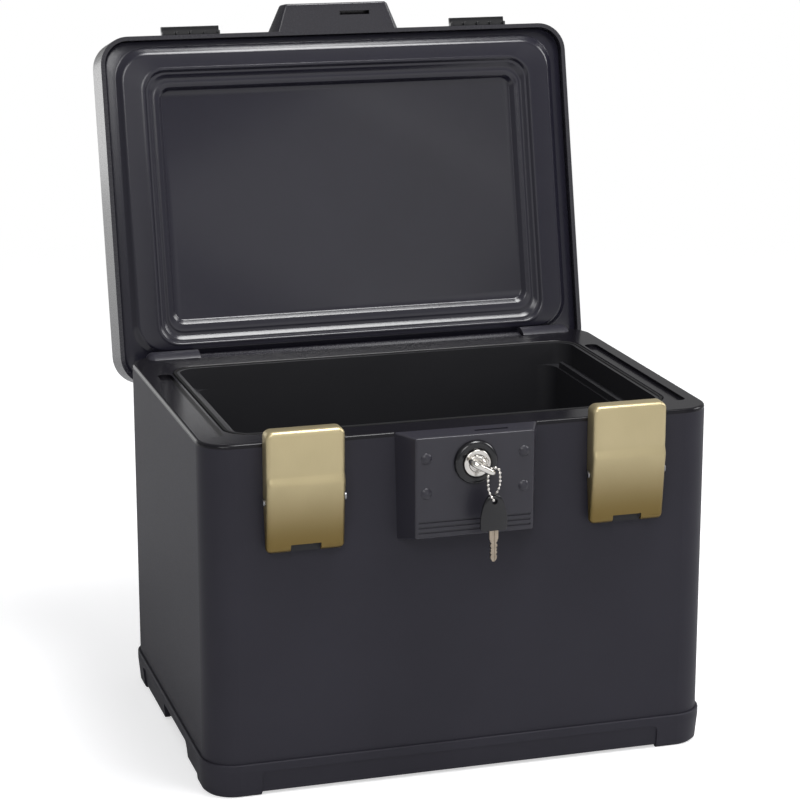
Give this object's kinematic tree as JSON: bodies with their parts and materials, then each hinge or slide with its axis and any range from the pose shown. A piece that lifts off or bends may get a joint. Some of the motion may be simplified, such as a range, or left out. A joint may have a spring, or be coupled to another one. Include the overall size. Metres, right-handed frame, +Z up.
{
  "type": "fire safe box",
  "caption": "Fire-resistant file chest with its hinged lid open, a keyed hook lock with keys, two rocking side latches and ledges for hanging files.",
  "frame": {"origin": "middle of the chest's footprint, on the plane of its feet", "axes": "+X to the chest's right seen from the front, +Y to its back where the hinge is, +Z up"},
  "size_m": [0.414, 0.4517, 0.5625],
  "materials": {
    "case_plastic": "fine grain",
    "lining_plastic": "satin",
    "liner_plastic": "satin",
    "filling": "cast, rough",
    "gasket_rubber": "matte",
    "steel": "bright zinc",
    "dark_steel": "black coat",
    "black_plastic": "satin",
    "gold_finish": "satin gold",
    "chrome": "polished",
    "key_brass": "nickel over brass"
  },
  "bodies": {
    "chest": {"outer_shell": "case_plastic", "base_tray": "case_plastic", "fill_plugs": "case_plastic", "inner_liner": "liner_plastic", "wall_filling": "filling", "rim_gasket": "gasket_rubber", "hinge_rod": "steel", "hinge_plugs": "case_plastic", "lock_housing": "case_plastic", "lock_rivets": "case_plastic", "lock_bezel": "black_plastic", "lock_body": "chrome", "lock_nut": "steel", "latch_bracket_left": "dark_steel", "latch_bracket_right": "dark_steel", "latch_pin_left": "steel", "latch_pin_right": "steel", "bracket_screws": "steel"},
    "lid": {"lid_shell": "case_plastic", "lid_liner": "lining_plastic", "lid_filling": "filling", "lid_hasp": "case_plastic", "latch_catch_left": "black_plastic", "latch_catch_right": "black_plastic"},
    "latch_left": {"latch_cover_left": "gold_finish"},
    "latch_right": {"latch_cover_right": "gold_finish"},
    "lock_core": {"lock_plug": "chrome", "hook_cam": "steel", "cam_screw": "steel", "lock_key": "chrome"},
    "spare_key": {"key_chain": "chrome", "spare_key_bow": "black_plastic", "spare_key_blade": "key_brass"}
  },
  "joints": [
    {"name": "lid_hinge", "type": "hinge", "parent": "chest", "child": "lid", "pos_m": [0, 0.14, 0.267], "axis": [1, 0, 0], "range_deg": [0, 102.5]},
    {"name": "latch_left_rock", "type": "hinge", "parent": "chest", "child": "latch_left", "pos_m": [-0.128, -0.151, 0.235], "axis": [1, 0, 0], "range_deg": [0, 7.5], "stiffness_Nm_per_rad": 0.4, "springref_deg": -8.59},
    {"name": "latch_right_rock", "type": "hinge", "parent": "chest", "child": "latch_right", "pos_m": [0.128, -0.151, 0.235], "axis": [1, 0, 0], "range_deg": [0, 7.5], "stiffness_Nm_per_rad": 0.4, "springref_deg": -8.59},
    {"name": "key_turn", "type": "hinge", "parent": "chest", "child": "lock_core", "pos_m": [0, -0.17, 0.258], "axis": [0, -1, 0], "range_deg": [0, 90]},
    {"name": "spare_key_swing", "type": "hinge", "parent": "lock_core", "child": "spare_key", "pos_m": [0.00865, -0.1855, 0.2534], "axis": [0, -1, 0], "range_deg": [-50, 20]}
  ]
}
